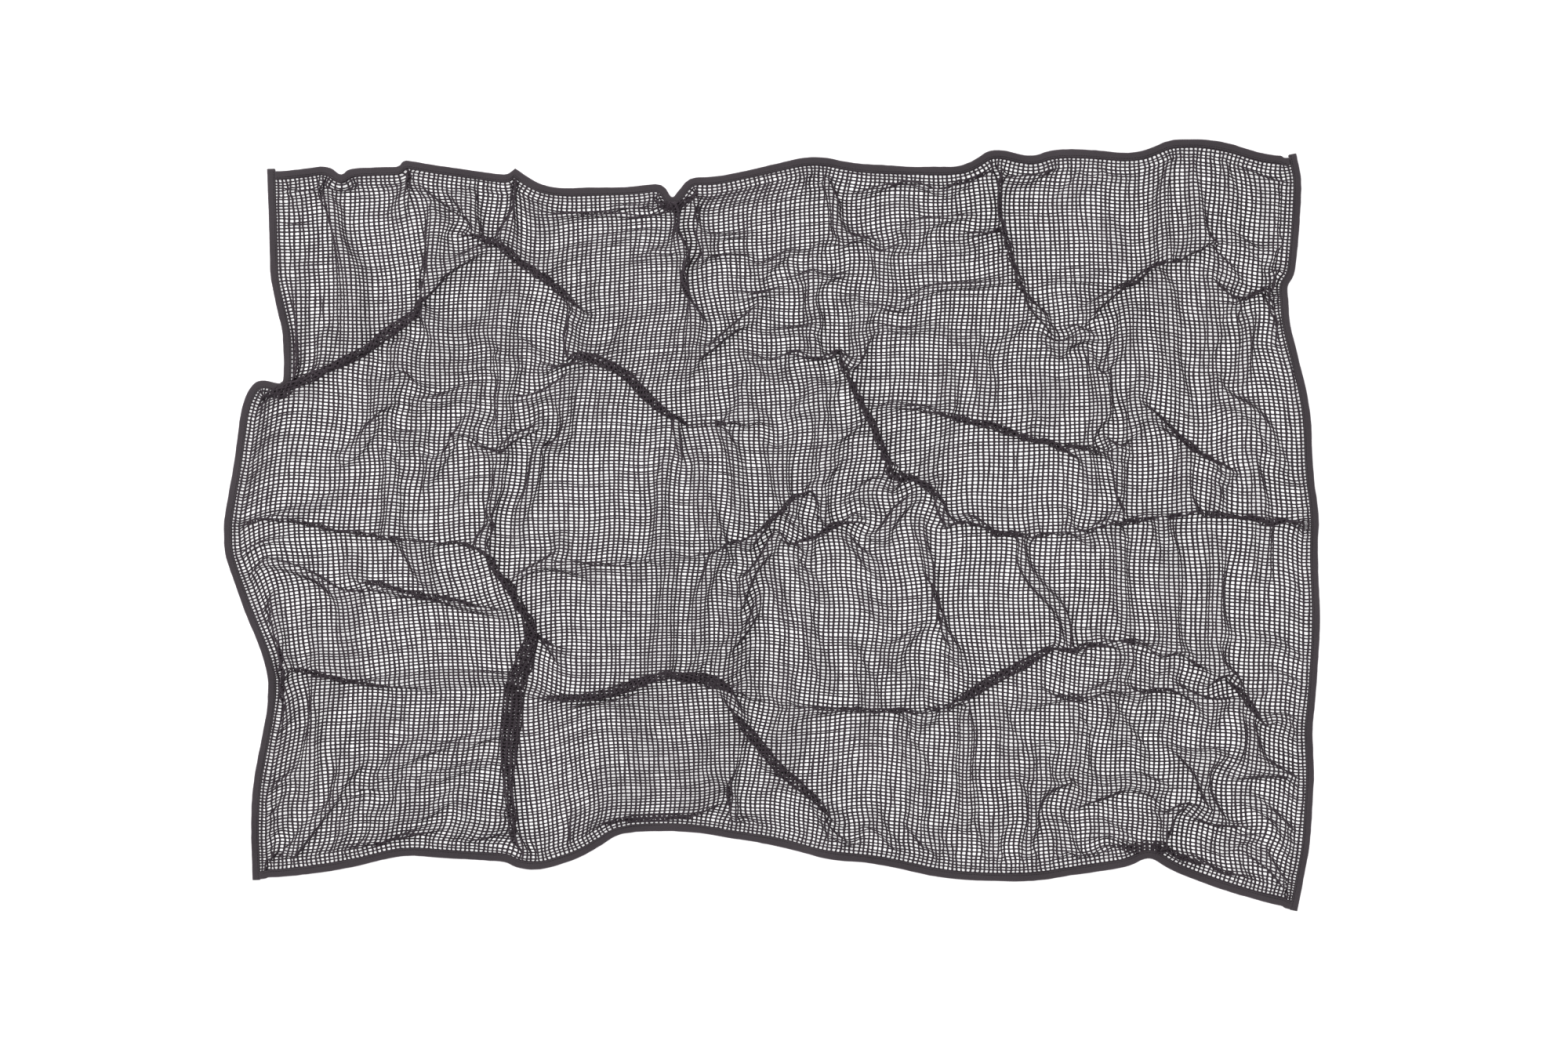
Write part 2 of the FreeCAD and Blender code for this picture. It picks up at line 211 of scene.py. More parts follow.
# ---- lines on the floor, in millimetres -------------------------------------------------------
def unit(vectors):
    """The vectors at length one."""
    return vectors / (np.linalg.norm(vectors, axis=-1, keepdims=True) + 1e-12)


def smooth_run(values, turns):
    """Values along a line, evened out with their neighbours."""
    values = values.copy()
    for _ in range(turns):
        values[1:-1] += 0.25 * (values[2:] + values[:-2] - 2 * values[1:-1])
    return values


def read_along(at, run, values):
    """Values known along a run, read at other places on it."""
    columns = [np.interp(at, run, values[:, k]) for k in range(values.shape[1])]
    return np.stack(columns, axis=-1)


def ease(share):
    """A soft step from nought to one."""
    share = np.clip(share, 0, 1)
    return share ** 2 * (3 - 2 * share)


def box_point(share_x, share_y):
    """A point on the floor from its shares of the box."""
    low, high = BOX_LOW / MM, BOX_HIGH / MM
    return np.array((low[0] + share_x * (high[0] - low[0]), high[1] - share_y * (high[1] - low[1])))


def hem_points(side):
    """The leaning points of one side's outer line, carried on to its corners."""
    drops = {"top": (0, -1), "right": (-1, 0), "bottom": (0, 1), "left": (1, 0)}
    line = []
    for share, depth in HEM[side]:
        shares = {"top": (share, 0), "right": (1, share), "bottom": (share, 1), "left": (0, share)}
        line.append(box_point(*shares[side]) + depth * np.array(drops[side]))
    return np.array(line)


def crossing(here, along, there, across):
    """Where a straight line through one point meets one through another."""
    apart = there - here
    reach = (apart[0] * across[1] - apart[1] * across[0]) / (along[0] * across[1] - along[1] * across[0])
    return here + along * reach


def inset_line(line, inset):
    """The line moved sideways into the cloth."""
    steps = np.diff(line, axis=0)
    normals = np.stack([steps[:, 1], -steps[:, 0]], axis=1)
    normals /= np.linalg.norm(normals, axis=1)[:, None]
    before = np.vstack([normals[:1], normals])
    after = np.vstack([normals, normals[-1:]])
    return line + (before + after) * (inset / (1.0 + (before * after).sum(1)))[:, None]


def smooth_line(points, count):
    """Evenly spaced points on the smooth curve that leans on the given ones."""
    points = np.asarray(points, float)
    if len(points) == 2:
        points = np.array([points[0], points.mean(0), points[1]])
    middles = (points[1:] + points[:-1]) / 2.0
    middles[0], middles[-1] = points[0], points[-1]
    t = np.linspace(0.0, 1.0, 30, endpoint=False)[:, None]
    bends = [
        (1 - t) ** 2 * a + 2 * t * (1 - t) * b + t ** 2 * c
        for a, b, c in zip(middles[:-1], points[1:-1], middles[1:])
    ]
    curve = np.vstack(bends + [points[-1:]])
    run = np.concatenate([[0.0], np.cumsum(np.linalg.norm(np.diff(curve, axis=0), axis=1))])
    return read_along(np.linspace(0.0, run[-1], count), run, curve)


def net_edges(columns, rows, inset):
    """The net's four edge lines, the far and left ones turned to run with the grid."""
    lines = {side: hem_points(side) for side in LOOP}
    corners = {}
    for index, side in enumerate(LOOP):
        before, line = lines[LOOP[index - 1]], lines[side]
        corners[side] = crossing(line[0], line[0] - line[1], before[-1], before[-1] - before[-2])
    edges = {}
    for index, side in enumerate(LOOP):
        whole = np.vstack([corners[side], lines[side], corners[LOOP[(index + 1) % 4]]])
        count = columns if side in ("top", "bottom") else rows
        edges[side] = smooth_line(inset_line(whole, inset), count)
    edges["bottom"] = edges["bottom"][::-1]
    edges["left"] = edges["left"][::-1]
    return edges


def spread_between(edges):
    """A grid of floor points stretched evenly between four edge lines."""
    top, right, bottom, left = (edges[side] for side in LOOP)
    u = np.linspace(0, 1, len(top))[:, None, None]
    v = np.linspace(0, 1, len(right))[None, :, None]
    first, second = (top[0] + left[0]) / 2, (top[-1] + right[0]) / 2
    third, fourth = (bottom[0] + left[-1]) / 2, (bottom[-1] + right[-1]) / 2
    grid = (1 - v) * top[:, None] + v * bottom[:, None] + (1 - u) * left[None] + u * right[None]
    grid -= (1 - u) * ((1 - v) * first + v * third) + u * ((1 - v) * second + v * fourth)
    grid[:, 0], grid[:, -1], grid[0], grid[-1] = top, bottom, left, right
    for _ in range(1200):
        around = grid[2:, 1:-1] + grid[:-2, 1:-1] + grid[1:-1, 2:] + grid[1:-1, :-2]
        grid[1:-1, 1:-1] = 0.25 * around
    return grid


def resize(field, columns, rows):
    """The same field on a grid with other counts, smoothly filled in."""
    def along_first(values, count):
        last = values.shape[0] - 1
        at = np.linspace(0, last, count)
        cell = np.minimum(at.astype(int), last - 1)
        t = (at - cell).reshape((-1,) + (1,) * (values.ndim - 1))
        a, b, c, d = (values[np.clip(cell + k, 0, last)] for k in (-1, 0, 1, 2))
        return b + 0.5 * t * (c - a + t * (2 * a - 5 * b + 4 * c - d + t * (3 * (b - c) + d - a)))
    return np.swapaxes(along_first(np.swapaxes(along_first(field, columns), 0, 1), rows), 0, 1)


def waves(rng, columns, rows, layers):
    """Random smooth waves, as a sum of (waves across, waves down, height) layers."""
    total = np.zeros((columns, rows))
    for across, down, height in layers:
        total += height * resize(rng.normal(size=(across, down, 1)), columns, rows)[..., 0]
    return total


# ---- laying the cloth -------------------------------------------------------------------------
def lay_fold(grid, lap, start, end, route):
    """Lap the cloth over itself along a route, which draws in the cloth on both sides.

    lap is in millimetres, and its sign says which side lies on top.  start and end are the shares
    of it that are left at the route's two ends.
    """
    line = smooth_line([box_point(*shares) for shares in route], 24 + 14 * len(route))
    side = 1.0 if lap > 0 else -1.0
    lap = abs(lap)
    crease = lap < SMALL_LAP
    width = lap / 2.4 + 1.0
    draw = (1.25 if lap > 8 else 1.05) * lap
    reach = 22.0 if crease else 60.0 + 3.0 * lap
    low, high = line.min(0) - 2.2 * reach, line.max(0) + 2.2 * reach
    close = ((grid[..., :2] > low) & (grid[..., :2] < high)).all(-1)
    points = grid[close]
    flat = points[:, :2]
    along = np.gradient(line, axis=0)
    along /= np.linalg.norm(along, axis=1)[:, None]
    across = np.stack([-along[:, 1], along[:, 0]], axis=1)
    near = np.full(len(flat), 1e9)
    place = np.zeros(len(flat), int)
    for index, point in enumerate(line):
        away = ((flat - point) ** 2).sum(1)
        closer = away < near
        near[closer] = away[closer]
        place[closer] = index
    offset = flat - line[place]
    sideways = (offset * across[place]).sum(1)
    beyond = np.abs((offset * along[place]).sum(1))
    share = place / (len(line) - 1.0)
    strength = (start + (1 - start) * ease(share / 0.3)) * (end + (1 - end) * ease((1 - share) / 0.3))
    strength *= np.exp(-((beyond / (7.0 if crease else 18.0)) ** 2))
    turn = np.tanh(sideways / width)
    fade = np.exp(-((sideways / reach) ** 2))
    drawn = (draw * turn + 0.4 * min(lap, 9.0) * np.tanh(sideways / 13.0)) * strength * fade
    points[:, :2] -= across[place] * drawn[:, None]
    step = 0.5 + 0.5 * np.tanh(side * sideways / width)
    step *= np.exp(-((np.clip(side * sideways - lap, 0, None) / (8.0 + lap)) ** 2))
    crest = np.exp(-((sideways / (width * 1.6)) ** 2))
    rise = strength * ((3.0 + 0.12 * lap) * step + (3.0 + 0.1 * lap) * crest)
    if crease:
        rise *= 0.5
    points[:, 2] = np.maximum(points[:, 2], rise) + 0.15 * rise
    grid[close] = points


class Cloth:
    """The net as a grid of yarn crossings held at their distances, in millimetres."""

    def __init__(self, grid, flat, edges, cell):
        self.grid = grid
        self.columns, self.rows = grid.shape[:2]
        self.step = (flat[0] / (self.columns - 1), flat[1] / (self.rows - 1))
        self.hems = {}
        for side, line in edges.items():
            along = smooth_run(np.gradient(line, axis=0), 16)
            turn = -1.0 if side in ("bottom", "left") else 1.0
            self.hems[side] = (line, unit(np.stack([along[:, 1], -along[:, 0]], axis=1) * turn))
        self.seats = {}
        self.cell = cell
        wide = np.linalg.norm(grid[-1, :, :2] - grid[0, :, :2], axis=1)
        deep = np.linalg.norm(grid[:, -1, :2] - grid[:, 0, :2], axis=1)
        self.rest = (
            smooth_run(np.minimum(flat[0], MOST_SLACK * wide), 9) / (self.columns - 1),
            smooth_run(np.minimum(flat[1], MOST_SLACK * deep), 9) / (self.rows - 1))
        across, down = np.meshgrid(np.arange(self.columns), np.arange(self.rows), indexing="ij")
        self.place = (across.ravel(), down.ravel())

    def pull(self, here, there, length, share):
        """Move both ends of a set of links towards their length."""
        gap = there - here
        size = np.sqrt((gap * gap).sum(-1)) + 1e-9
        gap *= ((size - length) / size * (0.5 * share))[..., None]
        here += gap
        there -= gap

    def hold_yarns(self):
        """Both families of yarns keep their length from crossing to crossing."""
        grid = self.grid
        for first in (0, 1):
            a, b = grid[first:-1:2], grid[first + 1::2]
            self.pull(a, b, self.rest[0][None, :], 1.0)
            a, b = grid[:, first:-1:2], grid[:, first + 1::2]
            self.pull(a, b, self.rest[1][:, None], 1.0)

    def hold_square(self, share):
        """The cells resist a little when they are pushed out of square."""
        grid = self.grid
        diagonal = math.hypot(*self.step)
        for i in (0, 1):
            for j in (0, 1):
                a, b = grid[i:-1:2, j:-1:2], grid[i + 1::2, j + 1::2]
                self.pull(a, b, diagonal, share)
                a, b = grid[i + 1::2, j:-1:2], grid[i:-1:2, j + 1::2]
                self.pull(a, b, diagonal, share)

    def stiffen(self, share):
        """The yarns resist sharp bends."""
        grid = self.grid
        total = np.zeros_like(grid)
        curl = grid[2:] + grid[:-2] - 2 * grid[1:-1]
        total[1:-1] -= 2 * curl
        total[2:] += curl
        total[:-2] += curl
        curl = grid[:, 2:] + grid[:, :-2] - 2 * grid[:, 1:-1]
        total[:, 1:-1] -= 2 * curl
        total[:, 2:] += curl
        total[:, :-2] += curl
        grid -= total * (share / 16.0)

    def part_layers(self, gap, shift):
        """Layers that lie on one another keep the cloth's thickness between them."""
        points = self.grid.reshape(-1, 3)
        bins = np.floor((points[:, :2] + shift * self.cell) / self.cell).astype(np.int64)
        key = bins[:, 0] * 100003 + bins[:, 1]
        order = np.lexsort((points[:, 2], key))
        low, high = order[:-1], order[1:]
        apart = sum(np.abs(place[low] - place[high]) for place in self.place)
        rise = points[high, 2] - points[low, 2]
        hit = (key[low] == key[high]) & (apart > 3) & (rise < gap)
        push = 0.5 * (gap - rise[hit])
        np.add.at(points[:, 2], high[hit], push)
        np.add.at(points[:, 2], low[hit], -push)

    def rims(self):
        """The grid as rows that start at each of the four sides."""
        turned = np.swapaxes(self.grid, 0, 1)
        return {"top": turned, "bottom": turned[::-1], "left": self.grid, "right": self.grid[::-1]}

    def find_seats(self):
        """Each edge crossing slides along its hem line to stay square with the cloth further in."""
        for side, rows in self.rims().items():
            line, ways_in = self.hems[side]
            step = self.step[1] if side in ("top", "bottom") else self.step[0]
            depth = int(SEAT_DEPTH / step) + 2
            rim = rows[0, :, :2]
            if side in self.seats:
                rim = rows[depth, :, :2] - self.seats[side][1] * (depth * step)
            even = np.linspace(0.0, len(line) - 1.0, len(rim))
            near = ((rim[:, None] - line[None]) ** 2).sum(-1)
            near += (0.12 * (np.arange(len(line))[None] - even[:, None])) ** 2
            place = smooth_run(0.9 * near.argmin(1) + 0.1 * even, 12)
            apart = np.clip(np.diff(place), 0.6 * even[1], 1.3 * even[1])
            place = np.concatenate([[0.0], np.cumsum(apart)]) * (even[-1] / apart.sum())
            at = np.arange(len(line))
            self.seats[side] = (read_along(place, at, line), unit(read_along(place, at, ways_in)))

    def hold_hem(self):
        """The taped edges stay on their lines and lie low."""
        for side, rows in self.rims().items():
            family = 1 if side in ("top", "bottom") else 0
            step, rest = self.step[family], self.rest[family][:, None]
            for row in range(int(HEM_ZONE / step) + 1):
                seat = self.seats[side][0] + self.seats[side][1] * (row * rest * 0.92)
                keep = 1.0 - (row * step / (HEM_ZONE + 4.0)) ** 2
                rows[row, :, :2] += (seat - rows[row, :, :2]) * keep
                rows[row, :, 2] *= 0.9 if row * step < TAPE_TOP else 0.96

    def settle(self, turns, weight, stiffness, square):
        """Let the cloth come to rest."""
        for turn in range(turns):
            self.grid[..., 2] -= weight
            self.hold_yarns()
            self.hold_square(square)
            self.stiffen(stiffness)
            if turn % 3 == 0:
                self.part_layers(LAYER_GAP, 0.5 * (turn % 2))
            if turn % 10 == 0:
                self.find_seats()
            self.hold_hem()
            np.clip(self.grid[..., 2], 0.0, HIGHEST, out=self.grid[..., 2])


def creases(rng, count):
    """Short small folds along the yarns, left where the cloth was once folded flat."""
    for _ in range(count):
        middle = rng.uniform(0.04, 0.96, 2)
        length, bend = rng.uniform(0.014, 0.042), rng.normal(0.0, 0.003)
        drift = rng.normal(0.0, 0.10)
        level = rng.random() < 0.62
        lap = rng.uniform(1.5, 2.39)
        route = []
        for t in (-1.0, 0.0, 1.0):
            run, off = t * length, bend * (1 - t * t) + drift * t * length
            route.append((middle[0] + (run if level else off), middle[1] + 1.42 * (off if level else run)))
        yield lap * (1 if rng.random() < 0.5 else -1), 0.1, 0.1, tuple(route)


def ripples(rng, columns, rows, fineness, height):
    """Ripples that run along the yarns, in patches, as heights above the floor."""
    patches = [np.clip(0.45 + waves(rng, columns, rows, ((9, 7, 0.8),)), 0.0, 1.8) for _ in range(2)]
    down = patches[0] * waves(rng, columns, rows, ((int(44 * fineness), int(10 * fineness), 1.0),))
    across = patches[1] * waves(rng, columns, rows, ((int(11 * fineness), int(40 * fineness), 0.8),))
    return height * (np.abs(down) + np.abs(across))


def lay_cloth(columns, rows, flat, inset, turns):
    """The crossings of the net as the cloth lies, in millimetres."""
    rng = np.random.default_rng(11)
    # the big folds settle on half of the crossings, and the small ones again on all of them
    half = (columns // 2, rows // 2)
    edges = net_edges(*half, inset)
    grid = np.zeros(half + (3,))
    grid[..., :2] = spread_between(edges)
    grid[..., 2] = ripples(rng, *half, 1.0, 4.5)
    for lap, start, end, route in FOLDS:
        lay_fold(grid, lap * (0.42 if lap < 5 else 0.55 if lap < 12 else 0.8), start, end, route)
    hems = net_edges(900, 640, inset)
    cloth = Cloth(grid, flat, hems, LAYER_BINS[0])
    cloth.settle(turns[0], 0.015, 0.10, 0.04)
    grid = resize(cloth.grid, columns, rows)
    grid[..., 2] += ripples(rng, columns, rows, 1.8, 3.4)
    for lap, start, end, route in FOLDS:
        if lap < 7:
            lay_fold(grid, lap * (0.5 if lap < 5 else 0.68), start, end, route)
    for lap, start, end, route in creases(rng, CREASES):
        lay_fold(grid, lap, start, end, route)
    cloth = Cloth(grid, flat, hems, LAYER_BINS[1])
    cloth.settle(turns[1], 0.012, 0.05, 0.04)
    return cloth.grid


# ---- meshes -----------------------------------------------------------------------------------
def build_mesh(name, points, faces, maps, material):
    """A mesh object from points, a list of equal-sided face arrays and maps of its face corners."""
    mesh = bpy.data.meshes.new(name)
    mesh.vertices.add(len(points))
    mesh.vertices.foreach_set("co", np.ascontiguousarray(points, np.float32).ravel())
    sizes = np.concatenate([np.full(len(part), part.shape[1]) for part in faces])
    corners = np.concatenate([part.ravel() for part in faces])
    mesh.loops.add(len(corners))
    mesh.loops.foreach_set("vertex_index", corners.astype(np.int32))
    mesh.polygons.add(len(sizes))
    starts = np.concatenate([[0], np.cumsum(sizes)[:-1]])
    mesh.polygons.foreach_set("loop_start", starts.astype(np.int32))
    mesh.polygons.foreach_set("loop_total", sizes.astype(np.int32))
    for label, values in maps.items():
        layer = mesh.uv_layers.new(name=label)
        layer.data.foreach_set("uv", np.ascontiguousarray(values, np.float32).ravel())
    mesh.polygons.foreach_set("use_smooth", np.ones(len(sizes), bool))
    mesh.update(calc_edges=True)
    mesh.validate()
    piece = bpy.data.objects.new(name, mesh)
    bpy.context.scene.collection.objects.link(piece)
    mesh.materials.append(material)
    return piece


def tube_parts(rings, first, strip):
    """The faces and maps of closed tubes, from rings of points (tube, place, corner, xyz).

    first is the number of the first point, and strip the part of the flat map across that the
    tubes take.
    """
    tubes, places, corners = rings.shape[:3]
    index = first + np.arange(tubes * places * corners).reshape(tubes, places, corners)
    ahead = np.roll(index, -1, axis=2)
    walls = np.stack([index[:, :-1], ahead[:, :-1], ahead[:, 1:], index[:, 1:]], axis=-1).reshape(-1, 4)
    wide = (strip[1] - strip[0]) / tubes
    left = strip[0] + wide * (np.arange(tubes) + 0.05)
    across = left[:, None, None] + 0.9 * wide * np.arange(corners + 1)[None, None, :] / corners
    run = np.linspace(0.01, 0.99, places)[None, :, None]
    u = np.broadcast_to(across, (tubes, places, corners + 1))
    v = np.broadcast_to(run, (tubes, places, corners + 1))
    flat = np.stack([u, v], axis=-1)
    wall_map = np.stack([flat[:, :-1, :-1], flat[:, :-1, 1:], flat[:, 1:, 1:], flat[:, 1:, :-1]], axis=-2)
    centre = rings.mean(axis=2)
    step = np.linalg.norm(np.diff(centre, axis=1), axis=-1)
    length = np.concatenate([np.zeros((tubes, 1)), np.cumsum(step, axis=1)], axis=1)
    turn = np.broadcast_to(np.arange(corners + 1) / corners, (tubes, places, corners + 1))
    far = np.broadcast_to(length[:, :, None], (tubes, places, corners + 1))
    yarn = np.stack([turn, far], axis=-1)
    yarn_map = np.stack([yarn[:, :-1, :-1], yarn[:, :-1, 1:], yarn[:, 1:, 1:], yarn[:, 1:, :-1]], axis=-2)
    caps = np.concatenate([index[:, 0, ::-1], index[:, -1, :]])
    angle = 2 * math.pi * np.arange(corners) / corners
    disc = np.stack([0.5 + 0.45 * np.cos(angle), 0.5 + 0.45 * np.sin(angle)], axis=-1)
    cap_left = left[:, None] + 0.9 * wide * disc[:, 0]
    cap_up = np.broadcast_to(0.008 * disc[:, 1], cap_left.shape)
    start_cap = np.stack([cap_left, cap_up], axis=-1)
    end_cap = start_cap + np.array([0.0, 0.992])
    cap_map = np.concatenate([start_cap, end_cap]).reshape(-1, 2)
    flat_map = (wall_map.reshape(-1, 2), cap_map)
    yarn_flat = (yarn_map.reshape(-1, 2), np.zeros_like(cap_map))
    return rings.reshape(-1, 3), (walls, caps), flat_map, yarn_flat


def join_tubes(name, families, material):
    """One object from families of closed tubes."""
    parts = []
    first = 0
    share = 1.0 / len(families)
    for number, rings in enumerate(families):
        parts.append(tube_parts(rings, first, (number * share, (number + 1) * share)))
        first += len(parts[-1][0])
    points = np.concatenate([part[0] for part in parts])
    points[..., 2] = np.maximum(points[..., 2], FLOOR_CLEARANCE)
    faces = [part[1][kind] for part in parts for kind in (0, 1)]
    flat = np.concatenate([part[2][kind] for part in parts for kind in (0, 1)])
    yarn = np.concatenate([part[3][kind] for part in parts for kind in (0, 1)])
    return build_mesh(name, points, faces, {"OFBake": flat, "yarn": yarn}, material)


def rings_round(centres, ups, widths, heights, corners):
    """Rings of an oval yarn round lines of centres."""
    along = unit(np.gradient(centres, axis=1))
    sideways = unit(np.cross(ups, along))
    upright = np.cross(along, sideways)
    angle = 2 * math.pi * (np.arange(corners) + 0.5) / corners
    wide = widths[..., None, None] * 0.5 * np.cos(angle)[:, None]
    tall = heights[..., None, None] * 0.5 * np.sin(angle)[:, None]
    return centres[..., None, :] + sideways[..., None, :] * wide + upright[..., None, :] * tall


# ---- the laid shape every piece follows -------------------------------------------------------
laid = {}


def edge_inset(settings):
    """How far the net's cut edge lies in from the tape's fold."""
    return (settings.tape_thickness + settings.tape_gap) / MM + EDGE_ROOM


def tape_half(settings):
    """Half the height of the folded tape over the net."""
    return settings.tape_thickness / MM + settings.tape_gap / MM + NET_HALF


def seen_from(side, grid):
    """The grid as (place along a side, place in from it), taken clockwise like the hem."""
    if side in ("bottom", "left"):
        grid = grid[:, ::-1]
    if side in ("bottom", "right"):
        grid = grid[::-1]
    return np.swapaxes(grid, 0, 1) if side in ("left", "right") else grid


class LaidCloth:
    """The resting net, its hem frames and its crossings, worked out once."""

    def __init__(self, settings):
        self.inset = edge_inset(settings)
        flat = (settings.flat_width / MM, settings.flat_length / MM)
        turns = ((360, 420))
        grid = lay_cloth(settings.warp_count, settings.weft_count, flat, self.inset, turns)
        self.tape_middle = tape_half(settings)
        self.grid = self.rest_on_floor(grid)
        self.hems = {side: self.hem_frame(side) for side in LOOP}
        self.tuck_under_tape(settings)

    def rest_on_floor(self, grid):
        """Lift the middle surface by half the yarns' height, and by half the tape's at the hem."""
        columns, rows = grid.shape[:2]
        across = np.minimum(np.arange(columns), np.arange(columns)[::-1])[:, None] * FLAT_CELL[0]
        down = np.minimum(np.arange(rows), np.arange(rows)[::-1])[None, :] * FLAT_CELL[1]
        rim = np.exp(-((np.minimum(across, down) / 14.0) ** 2))
        grid = grid.copy()
        grid[..., 2] += NET_HALF + (self.tape_middle - NET_HALF) * rim
        return grid

    def hem_frame(self, side):
        """Evenly spaced points on a side's net edge, with the ways into the cloth and up.

        run is how far along each of them lies, and crossings how far along each crossing does.
        """
        view = seen_from(side, self.grid)
        rim, inner = view[:, 0].copy(), view[:, 2]
        rim[:, 2] = smooth_run(rim[:, 2], 6)
        along = unit(smooth_run(np.gradient(rim, axis=0), 2))
        into = unit(smooth_run(unit(inner - rim), 30))
        into = unit(into - along * (into * along).sum(-1, keepdims=True))
        plan = np.stack([along[:, 1], -along[:, 0], np.zeros(len(along))], axis=1)
        into = unit(smooth_run(unit(into + 1.5 * plan), 6))
        step = np.linalg.norm(np.diff(rim, axis=0), axis=1)
        run = np.concatenate([[0.0], np.cumsum(step)])
        at = np.arange(0.0, run[-1], 2.0)
        at = np.append(at, run[-1])
        rim_line = read_along(at, run, rim)
        along_line = unit(read_along(at, run, along))
        into_line = unit(read_along(at, run, into))
        up = unit(np.cross(into_line, along_line))
        up *= np.sign(up[:, 2:3] + 1e-9)
        return {
            "rim": rim_line, "into": into_line, "up": up, "along": along_line,
            "run": at, "crossings": run,
        }

    def tuck_under_tape(self, settings):
        """Lay the outermost crossings flat between the two legs of the tape."""
        grid = self.grid
        reach = settings.tape_width / MM - self.inset + 1.0
        for side in LOOP:
            view = seen_from(side, grid)
            hem = self.hems[side]
            run = hem["crossings"]
            into = unit(read_along(run, hem["run"], hem["into"]))
            rim = read_along(run, hem["run"], hem["rim"])
            depth = np.zeros(len(run))
            before = view[:, 0].copy()
            view[:, 0] = rim
            for row in range(1, 4):
                here = view[:, row].copy()
                depth = depth + np.linalg.norm(here - before, axis=1)
                share = np.clip((reach + 3.0 - depth) / 4.0, 0.0, 1.0)[:, None]
                view[:, row] = here + (rim + into * depth[:, None] - here) * share
                before = here


def laid_cloth(settings):
    """The laid shape, made on the first call."""
    if "cloth" not in laid:
        laid["cloth"] = LaidCloth(settings)
    return laid["cloth"]


def net_rings(cloth, settings):
    """The rings of every warp and weft yarn, woven over and under."""
    grid = cloth.grid.copy()
    columns, rows = grid.shape[:2]
    rng = np.random.default_rng(5)
    across, down = unit(np.gradient(grid, axis=0)), unit(np.gradient(grid, axis=1))
    up = unit(np.cross(down, across))
    inner = np.ones((columns, rows, 1))
    inner[:2] = inner[-2:] = inner[:, :3] = inner[:, -3:] = 0.0
    slip = waves(rng, columns, rows, ((columns, rows // 5, 0.42), (columns // 3, rows // 9, 0.5)))
    sway = waves(rng, columns, rows, ((columns // 5, rows, 0.30), (columns // 9, rows // 3, 0.36)))
    grid += inner * (across * slip[..., None] + down * sway[..., None])
    parity = (np.add.outer(np.arange(columns), np.arange(rows)) % 2) * 2.0 - 1.0
    families = []
    # flatness is a yarn's height over its width, and weave how far it rises or dips at a crossing
    kinds = ((settings.warp_size, 0.62, 0.26), (settings.weft_size, 0.72, 0.30))
    for axis, (width, flatness, weave) in enumerate(kinds):
        width = width / MM
        lines = grid if axis == 0 else np.swapaxes(grid, 0, 1)
        ups = up if axis == 0 else np.swapaxes(up, 0, 1)
        over = parity if axis == 0 else -parity.T
        lift = weave * settings.weft_size / MM
        count, places = lines.shape[:2]
        crossings = lines + ups * (over * lift)[..., None]
        fine = np.zeros((count, 2 * places - 1, 3))
        fine[:, ::2] = crossings
        between = (lines[:, 1:] + lines[:, :-1]) / 2.0
        bow = lines[:, 2:] + lines[:, :-2] - 2 * lines[:, 1:-1]
        between[:, 1:-1] -= (bow[:, 1:] + bow[:, :-1]) / 16.0
        fine[:, 1::2] = between
        fine_up = np.zeros_like(fine)
        fine_up[:, ::2] = ups
        fine_up[:, 1::2] = unit(ups[:, 1:] + ups[:, :-1])
        thick = 1.0 + 0.09 * waves(rng, count, 2 * places - 1, ((count, places // 3, 1.0),))
        swell = np.ones(2 * places - 1)
        swell[::2] = 1.16
        swell[1::2] = 0.90
        widths = width * np.clip(thick, 0.8, 1.25) * swell
        fine[..., 2] = np.maximum(fine[..., 2], 0.5 * width * flatness)
        families.append(rings_round(fine * MM, fine_up, widths * MM, widths * flatness * MM, 5))
    return families


def tape_section(settings):
    """The folded tape cut across, as (inset from the fold, height from the middle) in millimetres."""
    width = settings.tape_width / MM
    thick = settings.tape_thickness / MM
    half = tape_half(settings)
    outer = [(width, half - 0.25), (width - 0.4, half - 0.02), (width - 1.6, half - 0.06),
             (width - 2.6, half - 0.02), (width * 0.5, half + 0.05), (2.6, half),
             (1.2, half - 0.35), (0.35, half - 1.05), (0.0, 0.35)]
    inner = [(thick, 0.3), (thick + 0.6, half - thick - 0.15), (width * 0.5, half - thick),
             (width - 0.3, half - thick)]
    top = outer + [(x, -z) for x, z in reversed(outer)]
    return np.array(top + [(x, -z) for x, z in reversed(inner)] + inner)


def stretch_hem(hem, start, end):
    """The hem's frame, carried on or cut back at its two ends, in millimetres."""
    run = hem["run"]
    low, high = -start, run[-1] + end
    keep = (run > max(low, 0.0) + 0.5) & (run < min(high, run[-1]) - 0.5)
    at = np.concatenate([[low], run[keep], [high]])
    if low < -0.5:
        at = np.insert(at, 1, 0.0)
    if high > run[-1] + 0.5:
        at = np.insert(at, len(at) - 1, run[-1])
    made = {}
    inside = np.clip(at, 0.0, run[-1])
    for key in ("rim", "into", "up", "along"):
        made[key] = read_along(inside, run, hem[key])
    made["rim"] = made["rim"] + made["along"] * (at - inside)[:, None]
    made["run"] = at
    return made


def tape_ends(settings):
    """How far each tape runs past the net's corners, at its start and its end."""
    inset = edge_inset(settings)
    butt = inset - settings.tape_width / MM - 0.3
    tail = inset + settings.tail_length / MM
    return {"top": (butt, butt), "right": (tail, inset), "bottom": (butt, butt), "left": (inset, tail)}


